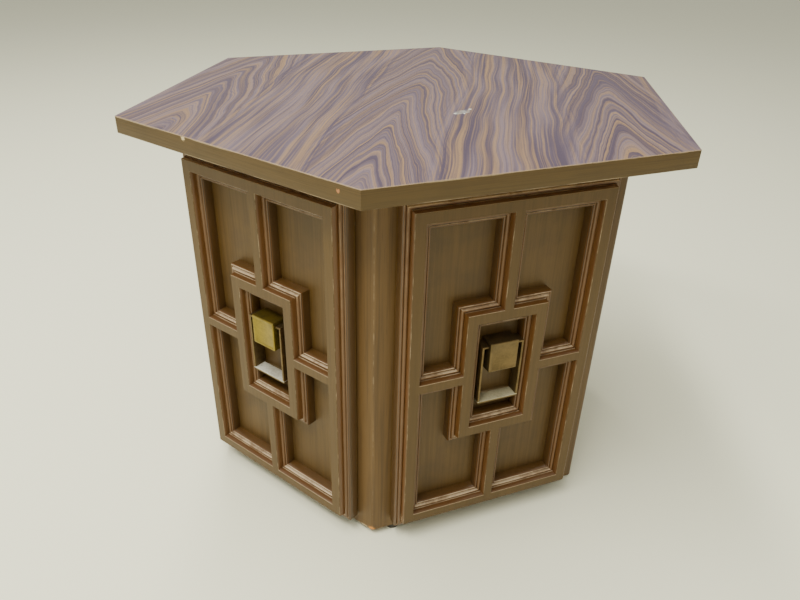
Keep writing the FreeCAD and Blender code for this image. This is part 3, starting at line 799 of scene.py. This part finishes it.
def hexagon_prism(name, radius, low, high):
    """A six-sided prism with a corner to the front."""
    bpy.ops.object.select_all(action="DESELECT")
    bpy.ops.mesh.primitive_cylinder_add(
        vertices=6, radius=radius, depth=high - low, location=(0, 0, (low + high) / 2)
    )
    made = bpy.context.object
    made.name = name
    made.data.name = name
    settle(made)
    return made


class CABINET_OT_top(bpy.types.Operator):
    """Model the laminate sheet and the six edge bands of the top"""

    bl_idname = "cabinet.top"
    bl_label = "Table top"

    def execute(self, context):
        sizes = context.scene.cabinet_top
        colours = context.scene.cabinet_finish
        laminate = hexagon_prism("laminate_sheet", TOP_RADIUS, CORE_TOP, TOP_SURFACE)
        start_edit(laminate)
        choose(laminate, edges=lambda e: all(v.co.z > TOP_SURFACE - 1e-5 for v in e.verts))
        bpy.ops.mesh.bevel(offset=sizes.laminate_ease, segments=2, affect="EDGES")
        end_edit()
        finish_piece(laminate, laminate_finish(colours), "case", "top_laminate", "top_laminate")

        wood = band_finish(colours)
        reach = TOP_RADIUS * math.cos(math.radians(30))
        bands = []
        for name, facing in FACINGS.items():
            if bands:
                band = copy_piece(bands[0], f"edge_band_{name}")
            else:
                band = self.model_band(sizes, reach)
                band.name = f"edge_band_{name}"
            bands.append(band)
        for band, facing in zip(bands, FACINGS.values()):
            band.rotation_euler.z = math.radians(facing)
            settle(band)
            finish_piece(band, wood, "case", "edge_band", "top_edge_bands")
        wear_finish("top_core", chipboard_finish("core_board", colours.chipboard))
        return {"FINISHED"}

    def model_band(self, sizes, reach):
        """One band on the +X side, mitred at both ends and eased below."""
        half = TOP_RADIUS / 2
        inner = reach - sizes.band_thick
        band = block("edge_band", (inner, -half, TOP_UNDERSIDE), (reach, half, CORE_TOP))
        for side in (-1, 1):
            mitre = Vector((-math.sin(math.radians(30)), side * math.cos(math.radians(30)), 0))
            corner = Vector((reach, side * (half - sizes.band_joint), 0))
            slice_off(band, corner, mitre)
        start_edit(band)
        outer, low = reach - 1e-5, TOP_UNDERSIDE + 1e-5
        choose(band, edges=lambda e: all(v.co.x > outer and v.co.z < low for v in e.verts))
        bpy.ops.mesh.bevel(offset=sizes.band_ease, segments=3, affect="EDGES")
        end_edit()
        smooth(band)
        return band


class CABINET_OT_case(bpy.types.Operator):
    """Model the six side panels with eased corners, and finish the case's inside"""

    bl_idname = "cabinet.case"
    bl_label = "Case"

    def execute(self, context):
        sizes = context.scene.cabinet_top
        colours = context.scene.cabinet_finish
        veneer = case_finish(colours)
        plain = self.model_panel(sizes)
        for name, facing in FACINGS.items():
            panel = copy_piece(plain, f"panel_{name}")
            if name.startswith("front"):
                self.cut_opening(panel, sizes)
            stand_on_face(panel, facing)
            finish_piece(panel, veneer, "case", "case_veneer", f"side_panel_{name}")
        bpy.data.objects.remove(plain)
        inside = chipboard_finish("inside_board", colours.chipboard)
        for node in ("bottom_board", "upper_corner_blocks", "lower_corner_blocks"):
            wear_finish(node, inside)
        return {"FINISHED"}

    def model_panel(self, sizes):
        """A panel drawn with its outer face on the XZ plane, mitred at 60 degrees."""
        half = CASE_SIDE / 2
        panel = block("panel", (-half, 0, CASE_BOTTOM), (half, sizes.panel_thick, TOP_UNDERSIDE))
        for side in (-1, 1):
            mitre = Vector((side * math.cos(math.radians(30)), math.sin(math.radians(30)), 0))
            slice_off(panel, (side * half, 0, 0), mitre)
            for lean, depth in ((60, 1.0), (78, 0.55)):
                across = side * math.cos(math.radians(lean))
                easing = Vector((across, -math.sin(math.radians(lean)), 0))
                corner = Vector((side * half, 0, 0)) - easing * sizes.corner_ease * depth
                slice_off(panel, corner, easing)
        return panel

    def cut_opening(self, panel, sizes):
        """The opening behind a door."""
        half_width = sizes.opening_width / 2
        half_height = sizes.opening_height / 2
        cutter = block(
            "cutter",
            (-half_width, -0.01, DOOR_MIDDLE - half_height),
            (half_width, sizes.panel_thick + 0.01, DOOR_MIDDLE + half_height),
        )
        carve(panel, cutter)


class CABINET_OT_door_fronts(bpy.types.Operator):
    """Model the moulded front once and hang a copy on each door"""

    bl_idname = "cabinet.door_fronts"
    bl_label = "Door fronts"

    def execute(self, context):
        sizes = context.scene.cabinet_door
        colours = context.scene.cabinet_finish
        pattern = self.model_front(sizes)
        board = stained_finish("board_stain", tuple(colours.case_brown), tuple(colours.case_dark))
        for side, facing in DOORS.items():
            front = copy_piece(pattern, f"{side}_moulded_front")
            stand_on_face(front, facing)
            finish = door_finish(f"{side}_door_moulding", facing, colours, sizes)
            finish_piece(front, finish, f"{side}_door", "door_moulding", f"{side}_door_front")
            wear_finish(f"{side}_door_board", board)
        bpy.data.objects.remove(pattern)
        return {"FINISHED"}

    def profile(self, sizes):
        """The moulding from a flat bar's edge: (across, down) at each line."""
        lines = list(COVE_LINES)
        beads = ((WIDE_BEAD_PLACE, sizes.wide_bead), (NARROW_BEAD_PLACE, sizes.narrow_bead))
        for (across, depth), half in beads:
            for turn in range(0, 181, 30):
                angle = math.radians(turn)
                rise = half * BEAD_RISE * math.sin(angle)
                lines.append((across - half * math.cos(angle), depth - rise))
        lines.append((sizes.flank_run, sizes.flank_fall))
        return lines

    def model_front(self, sizes):
        """Drawn with the case face on the XZ plane and -Y outward."""
        half = sizes.front_width / 2
        base = sizes.front_proud - sizes.flank_fall
        front = block("moulded_front", (-half, -base, FRONT_LOW), (half, -sizes.lip_gap, FRONT_HIGH))
        lines = self.profile(sizes)
        start_edit(front)
        choose(front, faces=lambda f: f.normal.y < -0.9)
        rising = list(reversed(lines))
        for (outer, low), (inner, high) in zip(rising, rising[1:]):
            bpy.ops.mesh.inset(thickness=outer - inner, depth=low - high, use_even_offset=True)
        for cut in self.cuts(sizes):
            choose(front, faces=lambda f: f.normal.y < -0.9 and self.on_flat(f, sizes))
            bpy.ops.mesh.bisect(plane_co=cut[0], plane_no=cut[1])
        wells = self.wells(sizes)
        for well in wells:
            choose(front, faces=lambda f: self.on_flat(f, sizes) and self.inside(f, well))
            bpy.ops.mesh.dissolve_faces()
        choose(front, faces=lambda f: self.on_flat(f, sizes) and any(self.inside(f, w) for w in wells))
        for (outer, high), (inner, low) in zip(lines, lines[1:]):
            bpy.ops.mesh.inset(thickness=inner - outer, depth=high - low, use_even_offset=True)
        sink = base - sizes.field_proud
        bpy.ops.mesh.extrude_region_move(TRANSFORM_OT_translate={"value": (0, sink, 0)})
        end_edit()
        smooth(front, 38)
        return front

    def on_flat(self, face, sizes):
        """Whether a face lies at the level of the flat bars."""
        return abs(face.calc_center_median().y + sizes.front_proud) < 1e-5

    def flat_limits(self, sizes):
        """Half the width of the flat outline, and its lower and upper limits."""
        return (
            sizes.front_width / 2 - sizes.flank_run,
            FRONT_LOW + sizes.flank_run,
            FRONT_HIGH - sizes.flank_run,
        )

    def cuts(self, sizes):
        """Planes through the edges of every bar."""
        half, low, high = self.flat_limits(sizes)
        middle = DOOR_MIDDLE - sizes.frame_drop
        across = (
            sizes.divider_bar / 2,
            sizes.frame_width / 2,
            sizes.frame_width / 2 - sizes.frame_bar,
            half - sizes.outer_bar,
        )
        heights = [low + sizes.outer_bar, high - sizes.outer_bar]
        for away in (sizes.divider_bar / 2, sizes.frame_height / 2,
                     sizes.frame_height / 2 - sizes.frame_bar):
            heights += [middle - away, middle + away]
        upright = [((side * x, 0, 0), (1, 0, 0)) for side in (-1, 1) for x in across]
        level = [((0, 0, z), (0, 0, 1)) for z in heights]
        return upright + level

    def wells(self, sizes):
        """Each well as a test on a place of the flat plane."""
        half, low, high = self.flat_limits(sizes)
        middle = DOOR_MIDDLE - sizes.frame_drop
        bar = sizes.divider_bar / 2
        frame_x = sizes.frame_width / 2
        frame_z = sizes.frame_height / 2
        inner_x, inner_z = frame_x - sizes.frame_bar, frame_z - sizes.frame_bar
        tests = [lambda x, z: abs(x) < inner_x and abs(z - middle) < inner_z]
        for right in (-1, 1):
            for up in (-1, 1):
                tests.append(
                    lambda x, z, right=right, up=up: (
                        x * right > bar
                        and abs(x) < half - sizes.outer_bar
                        and (z - middle) * up > bar
                        and low + sizes.outer_bar < z < high - sizes.outer_bar
                        and not (abs(x) < frame_x and abs(z - middle) < frame_z)
                    )
                )
        return tests

    def inside(self, face, test):
        """Whether a face's middle passes a well's test; an L-shaped face by its corner mean."""
        if len(face.verts) > 4:
            centre = face.calc_center_bounds()
            spots = [v.co for v in face.verts]
            return any(test(*self.toward(s, centre)) for s in spots)
        centre = face.calc_center_median()
        return test(centre.x, centre.z)

    def toward(self, spot_place, centre):
        """A place a little inside from a corner."""
        step = (centre - spot_place) * 0.01
        return spot_place.x + step.x, spot_place.z + step.z


class CABINET_OT_pulls(bpy.types.Operator):
    """Model the pull block and its ring once and fit a copy to each door"""

    bl_idname = "cabinet.pulls"
    bl_label = "Pulls"

    def execute(self, context):
        sizes = context.scene.cabinet_pull
        doors = context.scene.cabinet_door
        colours = context.scene.cabinet_finish
        blank_block = self.model_block(sizes, doors)
        blank_ring = self.model_ring(sizes)
        dark = (0.09, 0.065, 0.03)
        for side, facing in DOORS.items():
            # The right block's brass is darker and more tarnished than the left's copy of the same
            # metal: painted shade.
            tarnish_and_shade = 0.50 if side == "left" else 0.65
            shade = colours.brass if side == "left" else colours.shaded_brass
            brass = metal_finish(f"{side}_antique_brass", shade, dark, 0.30, tarnish_and_shade)
            pull = copy_piece(blank_block, f"{side}_block")
            stand_on_face(pull, facing)
            finish_piece(pull, brass, f"{side}_door", "antique_brass", f"{side}_pull_block")
            # Tones of the painted highlight on each ring's bottom bar, and that band's heights.
            worn = (0.66, 0.65, 0.58) if side == "left" else (0.50, 0.46, 0.31)
            reach = (RING_LOW + sizes.ring_thick * 0.9, RING_LOW + sizes.ring_thick * 1.15)
            bronze = metal_finish(
                f"{side}_bronze", colours.bronze, (0.045, 0.03, 0.015), 0.32, 0.5, worn, reach
            )
            ring = copy_piece(blank_ring, f"{side}_ring")
            stand_on_face(ring, facing)
            finish_piece(ring, bronze, f"{side}_ring", "dark_bronze", f"{side}_pull_ring")
        bpy.data.objects.remove(blank_block)
        bpy.data.objects.remove(blank_ring)
        return {"FINISHED"}

    def model_block(self, sizes, doors):
        """A cast block, eased all round, with a shallow dished face."""
        half = sizes.block_width / 2
        front = doors.front_proud - 0.0001
        pull = block("block", (-half, -front, BLOCK_LOW), (half, -doors.field_proud, BLOCK_HIGH))
        start_edit(pull)
        choose(pull, faces=lambda f: f.normal.y < -0.9)
        bpy.ops.mesh.inset(thickness=0.0022, depth=0, use_even_offset=True)
        bpy.ops.mesh.inset(thickness=0.0008, depth=-0.0005, use_even_offset=True)
        end_edit()
        ease_edges(pull, sizes.block_ease, 3, 40)
        smooth(pull)
        return pull

    def model_ring(self, sizes):
        """A bent flat strip, open at the top, with a peg at each end."""
        half = sizes.ring_width / 2
        front = sizes.ring_proud
        ring = block("ring", (-half, -front, RING_LOW), (half, sizes.ring_depth - front, RING_HIGH))
        inner = half - sizes.ring_thick
        low, high = RING_LOW + sizes.ring_thick, RING_HIGH - sizes.ring_thick
        carve(ring, block("cutter", (-inner, -0.1, low), (inner, 0.1, high)))
        gap = sizes.block_width / 2 + sizes.side_gap
        carve(ring, block("cutter", (-gap, -0.1, high - 0.001), (gap, 0.1, RING_HIGH + 0.01)))
        ease_edges(ring, sizes.ring_ease, 3, 40)
        pegs = [self.model_peg(sizes, side * gap) for side in (-1, 1)]
        pick_object(ring)
        for peg in pegs:
            peg.select_set(True)
        bpy.ops.object.join()
        smooth(ring)
        return ring

    def model_peg(self, sizes, mouth):
        """A peg that starts in the strip's end and runs through the block's side at mouth."""
        bpy.ops.object.select_all(action="DESELECT")
        bpy.ops.mesh.primitive_cylinder_add(
            vertices=20, radius=sizes.peg_radius, depth=sizes.peg_length + 0.001,
            location=(
                mouth - math.copysign(sizes.peg_length / 2 - 0.0005, mouth),
                sizes.ring_depth / 2 - sizes.ring_proud,
                RING_HIGH - sizes.ring_thick / 2,
            ),
            rotation=(0, math.pi / 2, 0),
        )
        peg = bpy.context.object
        settle(peg)
        return peg


class CABINET_OT_fittings(bpy.types.Operator):
    """Finish the hinges, catches, screws, bumpers and glides"""

    bl_idname = "cabinet.fittings"
    bl_label = "Fittings"

    def execute(self, context):
        colours = context.scene.cabinet_finish
        bronze = metal_finish("hinge_bronze", colours.bronze, (0.03, 0.022, 0.012), 0.35, 0.5)
        steel = metal_finish("zinc_steel", (0.62, 0.62, 0.60), (0.30, 0.29, 0.27), 0.30, 0.4)
        ivory = plastic_finish("catch_plastic", (0.62, 0.58, 0.48), 0.45)
        rubber = plastic_finish("bumper_rubber", (0.10, 0.07, 0.045), 0.75)
        black = plastic_finish("glide_plastic", (0.035, 0.03, 0.025), 0.5)
        choices = (
            ("_screws", steel), ("_screw", steel), ("_nails", steel), ("_strike_plate", steel),
            ("_leaf", bronze), ("_pin", bronze), ("_catch", ivory), ("_bumpers", rubber),
            ("glides", black),
        )
        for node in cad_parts:
            for ending, finish in choices:
                if node.endswith(ending):
                    wear_finish(node, finish)
                    break
        return {"FINISHED"}


class CABINET_OT_stage(bpy.types.Operator):
    """Lay the floor, hang the soft lights and set the camera"""

    bl_idname = "cabinet.stage"
    bl_label = "Stage"

    def execute(self, context):
        stage = context.scene.cabinet_stage
        bpy.ops.object.select_all(action="DESELECT")
        bpy.ops.mesh.primitive_plane_add(size=40, location=(0, 0, 0))
        floor = context.object
        floor.name = "studio_floor"
        floor.data.materials.append(floor_finish(stage.floor_colour))
        for name, place, target, size, power in LAMPS:
            self.light(name, place, target, size, power)
        world = bpy.data.worlds.new("studio_air")
        world.use_nodes = True
        air = world.node_tree.nodes["Background"]
        air.inputs["Color"].default_value = AIR_TINT
        air.inputs["Strength"].default_value = AIR_STRENGTH
        context.scene.world = world
        self.camera(context, stage)
        return {"FINISHED"}

    def light(self, name, place, target, size, power):
        """A softbox that points at a place."""
        lamp = bpy.data.lights.new(name, "AREA")
        lamp.shape = "RECTANGLE"
        lamp.size, lamp.size_y = size
        lamp.energy = power
        lamp.color = LAMP_TINT
        holder = bpy.data.objects.new(name, lamp)
        bpy.context.scene.collection.objects.link(holder)
        holder.location = place
        holder.rotation_euler = (Vector(target) - Vector(place)).to_track_quat("-Z", "Y").to_euler()

    def camera(self, context, stage):
        """The camera, held by its heading, fall and roll."""
        lens = bpy.data.cameras.new("camera")
        lens.sensor_width = 36
        lens.lens = stage.camera_lens
        lens.shift_x, lens.shift_y = LENS_SHIFT
        holder = bpy.data.objects.new("camera", lens)
        context.scene.collection.objects.link(holder)
        turn = Matrix.Rotation(stage.camera_turn, 4, "Z")
        fall = Matrix.Rotation(math.pi / 2 - stage.camera_fall, 4, "X")
        roll = Matrix.Rotation(stage.camera_roll, 4, "Z")
        holder.matrix_world = Matrix.Translation(stage.camera_place) @ turn @ fall @ roll
        context.scene.camera = holder


OPERATORS = (
    CABINET_OT_top,
    CABINET_OT_case,
    CABINET_OT_door_fronts,
    CABINET_OT_pulls,
    CABINET_OT_fittings,
    CABINET_OT_stage,
)


class CABINET_PT_panel(bpy.types.Panel):
    """Sizes, finishes and operators of the cabinet table"""

    bl_label = "Cabinet table"
    bl_idname = "CABINET_PT_panel"
    bl_space_type = "VIEW_3D"
    bl_region_type = "UI"
    bl_category = "Cabinet table"

    def draw(self, context):
        for operator in OPERATORS:
            self.layout.operator(operator.bl_idname)
        for name, group in GROUPS.items():
            box = self.layout.box()
            for field in group.__annotations__:
                box.prop(getattr(context.scene, name), field)


CLASSES = (*GROUPS.values(), *OPERATORS, CABINET_PT_panel)


def register():
    """Add the classes and the scene's settings."""
    for item in CLASSES:
        bpy.utils.register_class(item)
    for name, group in GROUPS.items():
        setattr(bpy.types.Scene, name, bpy.props.PointerProperty(type=group))


def unregister():
    """Remove them again."""
    for name in GROUPS:
        delattr(bpy.types.Scene, name)
    for item in reversed(CLASSES):
        bpy.utils.unregister_class(item)


def main():
    """Register the tools, then set the stage and model every piece in order."""
    register()
    bpy.ops.cabinet.stage()
    bpy.ops.cabinet.top()
    bpy.ops.cabinet.case()
    bpy.ops.cabinet.door_fronts()
    bpy.ops.cabinet.pulls()
    bpy.ops.cabinet.fittings()


if __name__ == "__main__":
    main()
